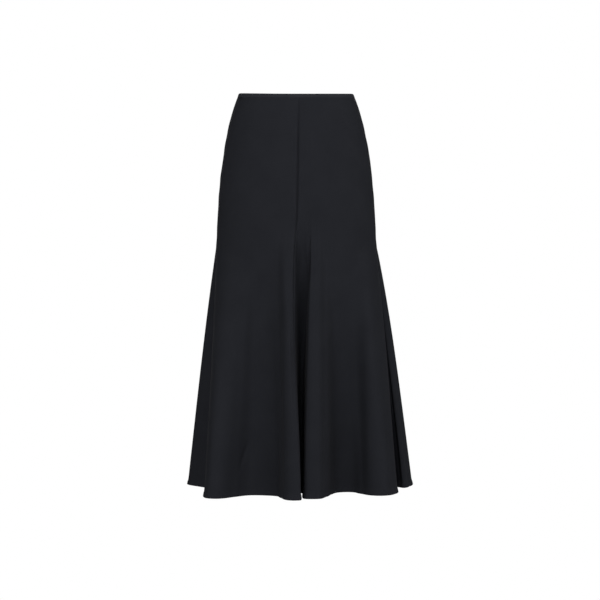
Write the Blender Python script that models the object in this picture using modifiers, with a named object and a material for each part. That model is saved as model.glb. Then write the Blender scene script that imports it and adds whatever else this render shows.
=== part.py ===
"""Fishtail skirt of four gores, fitted to the thigh and fluted below it, with a concealed zip at the back.

Metres, +Z up. The origin is the centre of the waist opening. The front faces -Y, and left and right are the
wearer's, so the left side is at +X.
"""

import math

import bmesh
import bpy
import numpy as np
from mathutils import Matrix, Vector

# ---------------------------------------------------------------- driving sizes

LENGTH = 0.8335           # waist edge to hem at the side seams
FRONT_DIP = 0.0135        # the waist edge is this much lower at the centre front
BACK_DIP = 0.0050         # and at the centre back
LEFT_DIP = 0.0012         # and at the left side
DIP_POWER = 1.25          # how the dip dies away towards the sides
DIP_FADE = 0.150          # depth below the waist at which the cloth's rows are level again

SLOPE_STEP = 0.0002       # over which the cloth's directions are measured
FITTED_ROWS = (0.030, 0.270, 8)    # first and last depth and number of the rows of faces
FLARED_ROWS = (0.300, 0.795, 12)

CLOTH = 0.0015            # thickness of one layer
SEAM_GAP = 0.0003         # between neighbouring gores
PIECE_GAP = 0.0003        # between pieces that lie on each other
SEAM_ROLL = 0.0007        # how far the cloth rolls in at a seam
SEAM_ROLL_WIDTH = 0.0012  # from the seam to where the roll begins

FLARE_SOFTNESS = 0.030    # share of the flare over which it sets in
BOW_PEAK = 0.4            # share of the flare at which a bowed fold is furthest out

EDGING_DEPTH = 0.0090     # height of the rolled edging on the outside
EDGING_WALL = 0.0010      # its own thickness
EDGING_STATION = 0.0035   # least distance between its sections
EDGING_ARC_STEPS = 5      # sides of the rounded top
EDGING_CROWN = 0.75       # height of the rounded top over its half width
SHARP_ANGLE = math.radians(45)    # faces that meet at more than this are shaded with an edge

ZIP_LENGTH = 0.185        # tape length below the edging
TAPE_WIDTH = 0.0100
TAPE_WALL = 0.0010
TAPE_CLEARANCE = 0.0004   # between a tape and the gore it is sewn to
TAPE_GRID = (9, 4)        # rows and columns of points

SLIDER_BELOW = 0.0070     # middle of the slider below the edging
SLIDER_BODY = (0.0070, 0.0026, 0.0095)   # inside, behind the tapes
SLIDER_NECK = (0.0014, 0.0040)           # width and height where it passes through the seam
SLIDER_CROWN = (0.0046, 0.0010, 0.0080)  # outside, on the cloth
SLIDER_BEVEL = 0.0006
CROWN_BEVEL = 0.0003
EAR = (0.0010, 0.0034, 0.0030)
PIN_RADIUS = 0.0006
PULL_LENGTH = 0.0165      # from the pin to the tip
PULL_WALL = 0.0010
PULL_TIP_RADIUS = 0.0031
KNUCKLE_RADIUS = 0.0015
HOLE_RADIUS = 0.0009
PULL_ROOT = 0.5           # share of the knuckle's radius at which the plate begins
WELD_DISTANCE = 0.00001
ROUND_SIDES = 20


def table(columns, *rows):
    """Rows under named columns, as one array for each column."""
    return {name: np.array(values, float) for name, values in zip(columns.split(), zip(*rows))}


# The fitted part: half widths and depths of its oval section, and how far the front seam wanders sideways.
FIT = table(
    "down     left     right    front    back     seam",
    (0.0000, 0.1195, 0.1195, 0.0880, 0.0905, 0.0044),
    (0.0140, 0.1262, 0.1258, 0.0912, 0.0948, 0.0042),
    (0.0350, 0.1338, 0.1332, 0.0960, 0.1010, 0.0038),
    (0.0560, 0.1398, 0.1392, 0.1005, 0.1070, 0.0034),
    (0.0990, 0.1496, 0.1486, 0.1080, 0.1175, 0.0026),
    (0.1410, 0.1568, 0.1548, 0.1135, 0.1255, 0.0020),
    (0.1830, 0.1615, 0.1606, 0.1175, 0.1300, 0.0012),
    (0.2260, 0.1652, 0.1640, 0.1205, 0.1310, 0.0004),
    (0.2680, 0.1678, 0.1662, 0.1225, 0.1300, -0.0004),
    (0.3300, 0.1708, 0.1688, 0.1240, 0.1290, -0.0012),
)

# The folds of the hem, anticlockwise from the centre front seam, one row for each crest, wall and valley.
# around: 0 front seam, 1 left side seam, 2 back seam, 3 right side seam; x, y: its place at the hem;
# heading: the hem line's direction there in degrees from +X, and reach, how long it holds it; starts: depth
# at which the fold sets in; rise: exponent of its growth; bow_x, bow_y: how far the fold's line bows between
# its start and the hem; steps: faces to the next row.
HEM = table(
    "around  x        y       heading reach starts rise bow_x    bow_y   steps",
    (0.000,  0.0099, -0.2145,   85.0, 0.80, 0.275, 0.85, -0.0060,  0.0000, 2),
    (0.034,  0.0066, -0.1330,   90.0, 0.90, 0.280, 0.90, -0.0030,  0.0030, 2),
    (0.058,  0.0104, -0.1115,    0.0, 1.10, 0.280, 0.90,  0.0000,  0.0040, 2),
    (0.088,  0.0146, -0.1350,  -89.0, 0.90, 0.280, 0.90,  0.0000,  0.0030, 2),
    (0.118,  0.0150, -0.1935,  -85.0, 0.90, 0.281, 0.91, -0.0010,  0.0010, 2),
    (0.130,  0.0183, -0.2052,  -43.0, 1.10, 0.282, 0.91, -0.0010,  0.0000, 2),
    (0.150,  0.0264, -0.2090,   -8.0, 1.00, 0.284, 0.91, -0.0010,  0.0000, 2),
    (0.180,  0.0400, -0.2085,    2.0, 1.00, 0.290, 0.95,  0.0000,  0.0000, 3),
    (0.240,  0.0600, -0.1760,   67.0, 1.00, 0.340, 1.08,  0.0000,  0.0000, 4),
    (0.330,  0.1000, -0.1038,    8.0, 1.15, 0.370, 1.05,  0.0000,  0.0060, 3),
    (0.480,  0.1320, -0.1260,  -48.0, 1.00, 0.350, 1.00,  0.0000,  0.0020, 3),
    (0.660,  0.1702, -0.1555,   -1.0, 1.10, 0.320, 1.00,  0.0000, -0.0100, 3),
    (0.800,  0.1990, -0.1330,   66.0, 1.00, 0.315, 1.00,  0.0010,  0.0000, 3),
    (0.925,  0.2098, -0.0900,   92.0, 1.00, 0.315, 1.00,  0.0020,  0.0000, 2),
    (0.970,  0.2046, -0.0190,   88.0, 0.80, 0.313, 1.00, -0.0030,  0.0010, 2),
    (1.000,  0.2090, -0.0030,    5.0, 1.30, 0.310, 1.00, -0.0055,  0.0010, 2),
    (1.034,  0.2166, -0.0125,  -46.0, 1.00, 0.309, 0.97, -0.0015,  0.0000, 2),
    (1.064,  0.2270, -0.0185,   20.0, 1.00, 0.308, 0.94,  0.0000,  0.0000, 2),
    (1.088,  0.2400,  0.0080,   66.0, 1.00, 0.305, 0.88,  0.0000, -0.0040, 3),
    (1.120,  0.2500,  0.0600,   90.0, 1.15, 0.300, 0.81,  0.0000, -0.0120, 3),
    (1.330,  0.2120,  0.1240,  165.0, 1.15, 0.330, 1.00,  0.0000,  0.0000, 3),
    (1.520,  0.1480,  0.1280,  160.0, 1.15, 0.380, 1.05,  0.0000,  0.0000, 5),
    (1.850,  0.0600,  0.2180,  178.0, 1.15, 0.330, 1.00,  0.0000,  0.0000, 4),
    (1.950,  0.0110,  0.1720,  -92.0, 1.15, 0.315, 1.00,  0.0000,  0.0000, 3),
    (2.000,  0.0040,  0.1260,  180.0, 1.15, 0.315, 1.00,  0.0000,  0.0000, 3),
    (2.050, -0.0050,  0.1730,   92.0, 1.15, 0.315, 1.00,  0.0000,  0.0000, 4),
    (2.115, -0.0300,  0.2220,  180.0, 1.15, 0.320, 1.00,  0.0000,  0.0000, 5),
    (2.380, -0.1120,  0.1400,  182.0, 1.15, 0.390, 1.10,  0.0000,  0.0000, 4),
    (2.660, -0.1920,  0.1400,  200.0, 1.15, 0.330, 1.00,  0.0000,  0.0000, 4),
    (2.910, -0.2330,  0.0560,  270.0, 1.15, 0.300, 0.88,  0.0000, -0.0060, 3),
    (2.965, -0.2180,  0.0210,  308.0, 1.00, 0.305, 0.95,  0.0000,  0.0000, 2),
    (2.985, -0.2040,  0.0030,  300.0, 1.00, 0.310, 0.95,  0.0000,  0.0020, 2),
    (3.000, -0.1840, -0.0400,  286.0, 0.90, 0.315, 1.00,  0.0040,  0.0000, 3),
    (3.070, -0.1858, -0.1250,  270.0, 1.15, 0.320, 1.10,  0.0000,  0.0000, 4),
    (3.380, -0.1605, -0.2045,    0.0, 1.05, 0.330, 1.05,  0.0000,  0.0000, 4),
    (3.600, -0.1230, -0.1730,   44.0, 1.00, 0.350, 1.00,  0.0000,  0.0000, 3),
    (3.690, -0.0830, -0.1455,   -2.0, 1.20, 0.350, 1.00,  0.0000,  0.0030, 3),
    (3.855, -0.0335, -0.1900,  -61.0, 1.00, 0.300, 0.95,  0.0000,  0.0020, 4),
    (3.925, -0.0045, -0.2330,  -10.0, 1.00, 0.278, 0.87,  0.0000, -0.0060, 2),
    (3.965,  0.0060, -0.2312,   13.0, 1.00, 0.275, 0.85, -0.0050,  0.0000, 2),
    (3.984,  0.0099, -0.2258,   82.0, 0.90, 0.275, 0.85, -0.0055,  0.0000, 1),
)

# The narrow turned hem, from its edge up: how far it flicks out and how thick it is.
HEM_TURN = table(
    "above    out      wall",
    (0.0130, 0.0000, 0.0015),
    (0.0076, 0.0008, 0.0016),
    (0.0068, 0.0010, 0.0028),
    (0.0030, 0.0016, 0.0028),
    (0.0000, 0.0018, 0.0024),
)

SEAMS_ROUND = 4
GORES = {
    "front_gore_left": (0, 1),
    "back_gore_left": (1, 2),
    "back_gore_right": (2, 3),
    "front_gore_right": (3, 4),
}


# ---------------------------------------------------------------- the cloth's form


def smooth(knots, values, where):
    """A smooth curve through values at rising knots, read at where; it never runs past a value."""
    secants = np.diff(values) / np.diff(knots)
    before, after = secants[:-1], secants[1:]
    total = np.where(before * after > 0.0, before + after, np.inf)
    slopes = np.concatenate([secants[:1], 2 * before * after / total, secants[-1:]])
    i = np.clip(np.searchsorted(knots, where, side="right") - 1, 0, len(knots) - 2)
    span = knots[i + 1] - knots[i]
    t = np.clip((where - knots[i]) / span, 0.0, 1.0)
    return hermite(t, values[i], values[i + 1], slopes[i] * span, slopes[i + 1] * span)


def hermite(t, start, end, leave, arrive):
    """Cubic from start to end with the given end slopes, all over t from 0 to 1."""
    return (
        (2 * t**3 - 3 * t**2 + 1) * start
        + (t**3 - 2 * t**2 + t) * leave
        + (3 * t**2 - 2 * t**3) * end
        + (t**3 - t**2) * arrive
    )


def wrap(values, turn=0.0):
    """The ring's rows with the last one before the first, and the first two again after the last."""
    return np.concatenate([[values[-1] - turn], values, values[:2] + turn])


ROWS = len(HEM["x"])
HEM_X = wrap(HEM["x"])
HEM_Y = wrap(HEM["y"])
HEM_AROUND = wrap(HEM["around"], SEAMS_ROUND)
HEM_STARTS = wrap(HEM["starts"])
HEM_RISE = wrap(HEM["rise"])
HEM_REACH = wrap(HEM["reach"])
HEM_BOW_X = wrap(HEM["bow_x"])
HEM_BOW_Y = wrap(HEM["bow_y"])
HEADINGS = np.radians(wrap(HEM["heading"]))
CHORDS = np.hypot(np.diff(HEM_X), np.diff(HEM_Y))
KNOTS = np.concatenate([[0.0], np.cumsum(CHORDS)]) - CHORDS[0]
BOW_HEIGHT = 1.0 / (BOW_PEAK**2 * (1.0 - BOW_PEAK)**3)   # brings the bow's peak to 1


def hem_point(s):
    """The hem line at distance s, measured along its chords from the centre front seam."""
    i = np.clip(np.searchsorted(KNOTS, s, side="right") - 1, 0, len(KNOTS) - 2)
    span = KNOTS[i + 1] - KNOTS[i]
    t = (s - KNOTS[i]) / span
    leave = HEM_REACH[i] * span
    arrive = HEM_REACH[i + 1] * span
    x = hermite(t, HEM_X[i], HEM_X[i + 1], leave * np.cos(HEADINGS[i]), arrive * np.cos(HEADINGS[i + 1]))
    y = hermite(t, HEM_Y[i], HEM_Y[i + 1], leave * np.sin(HEADINGS[i]), arrive * np.sin(HEADINGS[i + 1]))
    return x, y


def fit_point(angle, down):
    """The fitted oval at an angle from the centre front and a depth below the waist."""
    side = np.where(np.sin(angle) >= 0, smooth(FIT["down"], FIT["left"], down),
                    smooth(FIT["down"], FIT["right"], down))
    depth = np.where(np.cos(angle) >= 0, smooth(FIT["down"], FIT["front"], down),
                     smooth(FIT["down"], FIT["back"], down))
    wander = smooth(FIT["down"], FIT["seam"], down) * np.clip(np.cos(angle), 0.0, 1.0) ** 2
    return side * np.sin(angle) + wander, -depth * np.cos(angle)


def place(s, down):
    """The point of the outer cloth face at hem distance s and nominal depth down."""
    s, down = np.broadcast_arrays(np.asarray(s, float), np.asarray(down, float))
    angle = smooth(KNOTS, HEM_AROUND, s) * (math.pi / 2)
    front = np.clip(np.cos(angle), 0.0, 1.0)
    back = np.clip(-np.cos(angle), 0.0, 1.0)
    left = np.clip(np.sin(angle), 0.0, 1.0)
    dip = FRONT_DIP * front**DIP_POWER + BACK_DIP * back**DIP_POWER + LEFT_DIP * left**2
    depth = down + dip * np.clip(1.0 - down / DIP_FADE, 0.0, 1.0) ** 2
    starts = smooth(KNOTS, HEM_STARTS, s)
    share = np.clip((depth - starts) / (LENGTH - starts), 0.0, None)
    soft = np.sqrt(share**2 + FLARE_SOFTNESS**2) - FLARE_SOFTNESS
    grown = soft / (math.sqrt(1.0 + FLARE_SOFTNESS**2) - FLARE_SOFTNESS)
    flare = grown ** smooth(KNOTS, HEM_RISE, s)
    bow = BOW_HEIGHT * grown**2 * np.clip(1.0 - grown, 0.0, None) ** 3
    fit_x, fit_y = fit_point(angle, depth)
    hem_x, hem_y = hem_point(s)
    x = fit_x + flare * (hem_x - fit_x) + bow * smooth(KNOTS, HEM_BOW_X, s)
    y = fit_y + flare * (hem_y - fit_y) + bow * smooth(KNOTS, HEM_BOW_Y, s)
    return np.stack([x, y, -depth], axis=-1)


def slope(s, down, ds, dd):
    """Central difference of place over small steps."""
    return (place(s + ds, down + dd) - place(s - ds, down - dd)) / (2 * max(ds, dd))


def outward(s, down):
    """Unit normal of the cloth, away from the body."""
    normal = np.cross(slope(s, down, 0.0, SLOPE_STEP), slope(s, down, SLOPE_STEP, 0.0))
    return normal / np.linalg.norm(normal, axis=-1, keepdims=True)


def stretch(s, down):
    """Real distance along the cloth for one unit of s."""
    return np.linalg.norm(slope(s, down, SLOPE_STEP, 0.0), axis=-1)


def seam_at(number):
    """Hem distance of a seam: 0 front, 1 left, 2 back, 3 right, 4 front again."""
    row = int(np.argmin(np.abs(HEM_AROUND[1:] - number))) + 1
    return row, KNOTS[row]


def rows_down():
    """Depths of the gores' rows from the waist edge to the hem."""
    hidden = EDGING_WALL + PIECE_GAP
    hem = LENGTH - HEM_TURN["above"]
    return np.concatenate([
        [hidden, EDGING_DEPTH + hidden], np.linspace(*FITTED_ROWS), np.linspace(*FLARED_ROWS), hem])


def hem_turn(down, column, above):
    """A column of the hem's turn at each depth, and the given value above it."""
    heights = HEM_TURN["above"][::-1]
    return np.where(LENGTH - down <= heights[-1],
                    np.interp(LENGTH - down, heights, HEM_TURN[column][::-1]), above)


def columns_between(first, last):
    """Hem distances of a gore's columns between two seams, without its two edges."""
    row, start = seam_at(first)
    end_row, end = seam_at(last)
    columns = []
    for i in range(row, end_row):
        steps = int(HEM["steps"][(i - 1) % ROWS])
        columns.extend(np.linspace(KNOTS[i], KNOTS[i + 1], steps, endpoint=False))
    return start, end, np.array(columns[1:])


# ---------------------------------------------------------------- mesh helpers


def new_collection(name):
    collection = bpy.data.collections.new(name)
    bpy.context.scene.collection.children.link(collection)
    return collection


def material(name, colour, roughness, metallic=0.0):
    made = bpy.data.materials.new(name)
    made.use_nodes = True
    shader = made.node_tree.nodes["Principled BSDF"]
    shader.inputs["Base Color"].default_value = (*colour, 1.0)
    shader.inputs["Roughness"].default_value = roughness
    shader.inputs["Metallic"].default_value = metallic
    return made


def add_object(name, mesh, slot, parent=None):
    made = bpy.data.objects.new(name, mesh)
    made.data.materials.append(slot)
    SKIRT.objects.link(made)
    made.parent = parent
    return made


def grid_faces(rows, columns, first, flip):
    """Quads of a grid of points that are numbered row by row."""
    faces = []
    for r in range(rows - 1):
        for c in range(columns - 1):
            a = first + r * columns + c
            quad = (a, a + 1, a + columns + 1, a + columns)
            faces.append(quad[::-1] if flip else quad)
    return faces


def wall_mesh(name, outer, inner):
    """A closed wall between two grids of points, whose columns run anticlockwise and rows downwards."""
    rows, columns = outer.shape[:2]
    under = rows * columns
    faces = grid_faces(rows, columns, 0, True) + grid_faces(rows, columns, under, False)
    rim = list(range(columns))
    rim += [r * columns + columns - 1 for r in range(1, rows)]
    rim += [(rows - 1) * columns + c for c in range(columns - 2, -1, -1)]
    rim += [r * columns for r in range(rows - 2, 0, -1)]
    for a, b in zip(rim, rim[1:] + rim[:1]):
        faces.append((a, b, under + b, under + a))
    mesh = bpy.data.meshes.new(name)
    mesh.from_pydata(np.concatenate([outer, inner]).reshape(-1, 3).tolist(), [], faces)
    mesh.shade_smooth()
    mesh.set_sharp_from_angle(angle=SHARP_ANGLE)
    return mesh


# ---------------------------------------------------------------- cloth pieces


def gore(name, first, last):
    """One gore: its wall from the waist edge to the turned hem."""
    start, end, inside = columns_between(first, last)
    down = rows_down()[:, None]
    half_gap = SEAM_GAP / 2
    left = [start + size / stretch(start, down) for size in (half_gap, SEAM_ROLL_WIDTH)]
    right = [end - size / stretch(end, down) for size in (SEAM_ROLL_WIDTH, half_gap)]
    middle = np.broadcast_to(inside, (len(down), len(inside)))
    s = np.concatenate([left[0], left[1], middle, right[0], right[1]], axis=1)
    face = place(s, down)
    normal = outward(s, down)
    out = np.broadcast_to(hem_turn(down, "out", 0.0), s.shape)
    wall = np.broadcast_to(hem_turn(down, "wall", CLOTH), s.shape)
    roll = np.zeros(s.shape)
    roll[:, 0] = roll[:, -1] = SEAM_ROLL
    outer = face + normal * (out - roll)[..., None]
    inner = face + normal * (out - wall)[..., None]
    return add_object(name, wall_mesh(name, outer, inner), CREPE)


def edging_profile():
    """Section of the edging: distance outside the gore's face, and depth below its rolled top."""
    out = PIECE_GAP + EDGING_WALL
    inn = -CLOTH - PIECE_GAP - EDGING_WALL
    middle = (out + inn) / 2
    half = (out - inn) / 2
    corner = EDGING_WALL / 3
    crown = [
        (middle + half * math.cos(a), half * EDGING_CROWN * (1.0 - math.sin(a)))
        for a in np.linspace(0.0, math.pi, EDGING_ARC_STEPS + 1)
    ]
    outside = [(out - corner, EDGING_DEPTH), (out, EDGING_DEPTH - corner)]
    inside = [(inn, EDGING_DEPTH - corner), (inn + corner, EDGING_DEPTH)]
    hollow = [(inn + EDGING_WALL, EDGING_DEPTH), (inn + EDGING_WALL, EDGING_WALL),
              (out - EDGING_WALL, EDGING_WALL), (out - EDGING_WALL, EDGING_DEPTH)]
    return np.array(outside + crown + inside + hollow)


def edging_stations():
    """Hem distances of the edging's sections: the gores' own columns, thinned out, from the back seam round."""
    back, _, _ = columns_between(2, 3)
    turn = seam_at(SEAMS_ROUND)[1]
    columns = np.concatenate([columns_between(*GORES[name])[2] for name in GORES] + [[0.0]])
    columns = np.sort(np.where(columns <= back, columns + turn, columns))
    kept = [back]
    for s in columns:
        clear = [math.dist(place(s % turn, 0.0), place(other % turn, 0.0)) for other in (kept[-1], back)]
        if min(clear) > EDGING_STATION:
            kept.append(s)
    kept.append(back + turn)
    half = SEAM_GAP / 2 / stretch(back, 0.0)
    kept[0] += half
    kept[-1] -= half
    return np.array(kept) % turn


def waist_edging():
    """The strip of the same cloth that rolls over the gores' top edges and ends at the back seam."""
    profile = edging_profile()
    s = edging_stations()[:, None]
    depth = np.broadcast_to(profile[:, 1], (len(s), len(profile)))
    points = place(s, depth) + outward(s, depth) * profile[:, 0][None, :, None]
    count = len(profile)
    faces = []
    for i in range(len(s) - 1):
        for k in range(count):
            a, b = i * count + k, i * count + (k + 1) % count
            faces.append((a, a + count, b + count, b))
    last = (len(s) - 1) * count
    faces.append(tuple(range(count)))
    faces.append(tuple(last + k for k in range(count - 1, -1, -1)))
    mesh = bpy.data.meshes.new("waist_edging")
    mesh.from_pydata(points.reshape(-1, 3).tolist(), [], faces)
    mesh.shade_smooth()
    mesh.set_sharp_from_angle(angle=SHARP_ANGLE)
    return add_object("waist_edging", mesh, CREPE)


def zip_tape(name, side):
    """A tape of the concealed zip, inside the back gore on one side of the seam."""
    _, seam = seam_at(2)
    top = EDGING_DEPTH + 2 * PIECE_GAP
    down = np.linspace(top, top + ZIP_LENGTH, TAPE_GRID[0])[:, None]
    across = np.linspace(SEAM_GAP / 2, TAPE_WIDTH, TAPE_GRID[1])
    s = seam + side * across[::side] / stretch(seam, down)
    face = place(s, down)
    normal = outward(s, down)
    near = CLOTH + TAPE_CLEARANCE
    outer = face - normal * near
    inner = face - normal * (near + TAPE_WALL)
    return add_object(name, wall_mesh(name, outer, inner), TAPE)


# ---------------------------------------------------------------- zip slider and pull


def box(name, size, centre, collection, parent, bevel=0.0):
    """A box of the given size, with its edges rounded when a bevel is given."""
    bpy.ops.mesh.primitive_cube_add(size=1.0, location=(0, 0, 0))
    made = bpy.context.active_object
    made.name = name
    made.data.name = name
    for vertex in made.data.vertices:
        vertex.co = Vector([c * s + o for c, s, o in zip(vertex.co, size, centre)])
    file_under(made, collection, parent)
    if bevel:
        rounding = made.modifiers.new("rounded", "BEVEL")
        rounding.width = bevel
        rounding.segments = 2
    return made


def rod(name, radius, width, centre, collection, parent):
    """A cylinder along X."""
    bpy.ops.mesh.primitive_cylinder_add(vertices=ROUND_SIDES, radius=radius, depth=width)
    made = bpy.context.active_object
    made.name = name
    made.data.name = name
    made.data.transform(Matrix.Translation(centre) @ Matrix.Rotation(math.pi / 2, 4, "Y"))
    file_under(made, collection, parent)
    return made


def file_under(made, collection, parent):
    """Move an object to its collection and parent; what is a cutter shows as wire."""
    for old in list(made.users_collection):
        old.objects.unlink(made)
    collection.objects.link(made)
    made.parent = parent
    if collection == CUTTERS:
        made.hide_render = True
        made.display_type = "WIRE"


def combine(made, other, operation):
    step = made.modifiers.new(operation.lower(), "BOOLEAN")
    step.operation = operation
    step.object = other


def zip_frame():
    """An empty on the back seam's outer face at the slider, its Z up along the cloth and its Y outward."""
    _, seam = seam_at(2)
    down = EDGING_DEPTH + SLIDER_BELOW
    point = place(seam, down)
    up = Vector(slope(seam, down, 0.0, SLOPE_STEP) * -1.0).normalized()
    across = Vector((1.0, 0.0, 0.0))
    up = (up - across * up.dot(across)).normalized()
    out = up.cross(across)
    empty = bpy.data.objects.new("zip_frame", None)
    empty.matrix_world = Matrix.Translation(Vector(point)) @ Matrix((across, out, up)).transposed().to_4x4()
    SKIRT.objects.link(empty)
    return empty


def pin_centre():
    """The pull's pivot in the zip frame: its knuckle clears the crown by the gap between pieces."""
    outside = PIECE_GAP + SLIDER_CROWN[1] + PIECE_GAP + KNUCKLE_RADIUS
    return Vector((0.0, outside, SLIDER_CROWN[2] / 2 - EAR[2] / 2))


def zip_slider(frame):
    """Body behind the tapes, neck through the seam, crown outside with two ears and the pin."""
    behind = CLOTH + TAPE_CLEARANCE + TAPE_WALL + PIECE_GAP
    body_centre = (0.0, -behind - SLIDER_BODY[1] / 2, 0.0)
    crown_centre = (0.0, PIECE_GAP + SLIDER_CROWN[1] / 2, 0.0)
    neck_size = (SLIDER_NECK[0], crown_centre[1] - body_centre[1], SLIDER_NECK[1])
    neck_centre = (0.0, (crown_centre[1] + body_centre[1]) / 2, 0.0)
    pin = pin_centre()
    slider = box("zip_slider", SLIDER_BODY, body_centre, SKIRT, frame, SLIDER_BEVEL)
    slider.data.materials.append(PAINTED_METAL)
    combine(slider, box("slider_neck", neck_size, neck_centre, CUTTERS, frame), "UNION")
    combine(slider, box("slider_crown", SLIDER_CROWN, crown_centre, CUTTERS, frame, CROWN_BEVEL), "UNION")
    for side in (-1, 1):
        ear_centre = (side * (SLIDER_CROWN[0] - EAR[0]) / 2, PIECE_GAP + SLIDER_CROWN[1] / 2 + EAR[1] / 2, pin.z)
        combine(slider, box(f"slider_ear_{side}", EAR, ear_centre, CUTTERS, frame), "UNION")
    combine(slider, rod("slider_pin", PIN_RADIUS, SLIDER_CROWN[0] - EAR[0], pin, CUTTERS, frame), "UNION")
    notch = (SLIDER_NECK[0] + 2 * PIECE_GAP, 4 * behind, SLIDER_NECK[1] + 2 * PIECE_GAP)
    return box("neck_notch", notch, (0.0, 0.0, 0.0), CUTTERS, frame)


def zip_pull(frame):
    """The drop-shaped tab: a plate that widens to a round tip, and a bored knuckle on the slider's pin."""
    pivot = pin_centre()
    width = SLIDER_CROWN[0] - 2 * EAR[0] - 2 * PIECE_GAP
    tip = -PULL_LENGTH + PULL_TIP_RADIUS
    lean = math.acos((PULL_TIP_RADIUS - width / 2) / -tip)
    outline = [
        (PULL_TIP_RADIUS * math.sin(a), tip - PULL_TIP_RADIUS * math.cos(a))
        for a in np.linspace(-lean, lean, ROUND_SIDES)
    ]
    root = -KNUCKLE_RADIUS * PULL_ROOT
    outline += [(width / 2, root), (-width / 2, root)]
    plate = bpy.data.curves.new("zip_pull", "CURVE")
    plate.dimensions = "2D"
    plate.fill_mode = "BOTH"
    plate.extrude = PULL_WALL / 2
    spline = plate.splines.new("POLY")
    spline.points.add(len(outline) - 1)
    for point, (x, z) in zip(spline.points, outline):
        point.co = (x, z, 0.0, 1.0)
    spline.use_cyclic_u = True
    drawn = bpy.data.objects.new("pull_outline", plate)
    bpy.context.scene.collection.objects.link(drawn)
    bpy.context.view_layer.update()
    mesh = bpy.data.meshes.new_from_object(drawn.evaluated_get(bpy.context.evaluated_depsgraph_get()))
    bpy.data.objects.remove(drawn, do_unlink=True)
    mesh.name = "zip_pull"
    mesh.transform(Matrix.Translation((0, -KNUCKLE_RADIUS + PULL_WALL / 2, 0)) @ Matrix.Rotation(math.pi / 2, 4, "X"))
    shape = bmesh.new()
    shape.from_mesh(mesh)
    bmesh.ops.remove_doubles(shape, verts=shape.verts, dist=WELD_DISTANCE)
    bmesh.ops.recalc_face_normals(shape, faces=shape.faces)
    shape.to_mesh(mesh)
    shape.free()
    pull = add_object("zip_pull", mesh, PAINTED_METAL, frame)
    pull.location = pivot
    combine(pull, rod("pull_knuckle", KNUCKLE_RADIUS, width, (0, 0, 0), CUTTERS, pull), "UNION")
    combine(pull, rod("pull_hole", HOLE_RADIUS, 2 * width, (0, 0, 0), CUTTERS, pull), "DIFFERENCE")


# ---------------------------------------------------------------- build


for old in list(bpy.data.objects):
    bpy.data.objects.remove(old, do_unlink=True)

SKIRT = new_collection("fishtail_skirt")
CUTTERS = new_collection("cutters")

CREPE = material("black_crepe", (0.020, 0.022, 0.026), 0.85)
TAPE = material("black_zip_tape", (0.012, 0.012, 0.014), 0.80)
PAINTED_METAL = material("black_painted_metal", (0.015, 0.015, 0.017), 0.35, 0.6)

cloth = {name: gore(name, first, last) for name, (first, last) in GORES.items()}
waist_edging()
tapes = [zip_tape("zip_tape_left", -1), zip_tape("zip_tape_right", 1)]
slider_frame = zip_frame()
neck_notch = zip_slider(slider_frame)
zip_pull(slider_frame)
for cut in (cloth["back_gore_left"], cloth["back_gore_right"], *tapes):
    combine(cut, neck_notch, "DIFFERENCE")
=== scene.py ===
import math

import bpy
import numpy as np
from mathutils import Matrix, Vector


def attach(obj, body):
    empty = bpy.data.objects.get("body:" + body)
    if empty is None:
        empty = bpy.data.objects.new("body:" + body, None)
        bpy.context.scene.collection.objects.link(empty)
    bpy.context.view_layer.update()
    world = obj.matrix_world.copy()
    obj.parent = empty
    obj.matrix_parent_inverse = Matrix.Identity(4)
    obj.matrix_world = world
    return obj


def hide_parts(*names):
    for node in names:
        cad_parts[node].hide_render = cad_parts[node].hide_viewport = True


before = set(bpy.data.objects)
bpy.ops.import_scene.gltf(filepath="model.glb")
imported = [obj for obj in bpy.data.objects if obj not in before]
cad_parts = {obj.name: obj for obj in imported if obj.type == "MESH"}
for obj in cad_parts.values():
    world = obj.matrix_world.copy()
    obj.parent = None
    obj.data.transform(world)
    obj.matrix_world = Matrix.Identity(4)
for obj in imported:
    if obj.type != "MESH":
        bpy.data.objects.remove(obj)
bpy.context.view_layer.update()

bpy.ops.object.select_all(action="DESELECT")
print("frame loaded:", sorted(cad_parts))

# The skirt stands filled out, as when worn: its front to -Y, its left side seam to +X and its origin in
# the middle of the waist opening.

skirt = {
    "length": 0.8335,        # waist edge to hem at the side seams
    "frontDip": 0.0118,      # the waist edge is lower at the centre front
    "backDip": 0.0050,
    "leftDip": 0.0012,
    "dipPower": 1.25,
    "dipFade": 0.150,        # depth at which the cloth's rows are level again
    "cloth": 0.0015,         # one layer of crepe
    "flareSoftness": 0.030,  # share of the flare over which it sets in
    "bowPeak": 0.4,          # share of the flare at which a bowed fold is furthest out
    "seamsRound": 4,
    "probe": 0.0002,         # the form's slopes are measured this far each side of a place
}

# The fitted part's oval sections: half widths and depths, and how far the front seam wanders to the left.
fitColumns = "down left right front back seam"
fitRows = (
    (0.0000, 0.1195, 0.1195, 0.0880, 0.0905, 0.0052),
    (0.0140, 0.1262, 0.1258, 0.0912, 0.0948, 0.0056),
    (0.0350, 0.1338, 0.1332, 0.0960, 0.1010, 0.0057),
    (0.0560, 0.1398, 0.1392, 0.1005, 0.1070, 0.0055),
    (0.0990, 0.1496, 0.1486, 0.1080, 0.1175, 0.0047),
    (0.1410, 0.1568, 0.1548, 0.1135, 0.1255, 0.0043),
    (0.1830, 0.1615, 0.1606, 0.1175, 0.1300, 0.0036),
    (0.2260, 0.1652, 0.1640, 0.1205, 0.1310, 0.0029),
    (0.2680, 0.1678, 0.1662, 0.1225, 0.1300, 0.0019),
    (0.3300, 0.1708, 0.1688, 0.1240, 0.1290, -0.0016),
)

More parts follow.
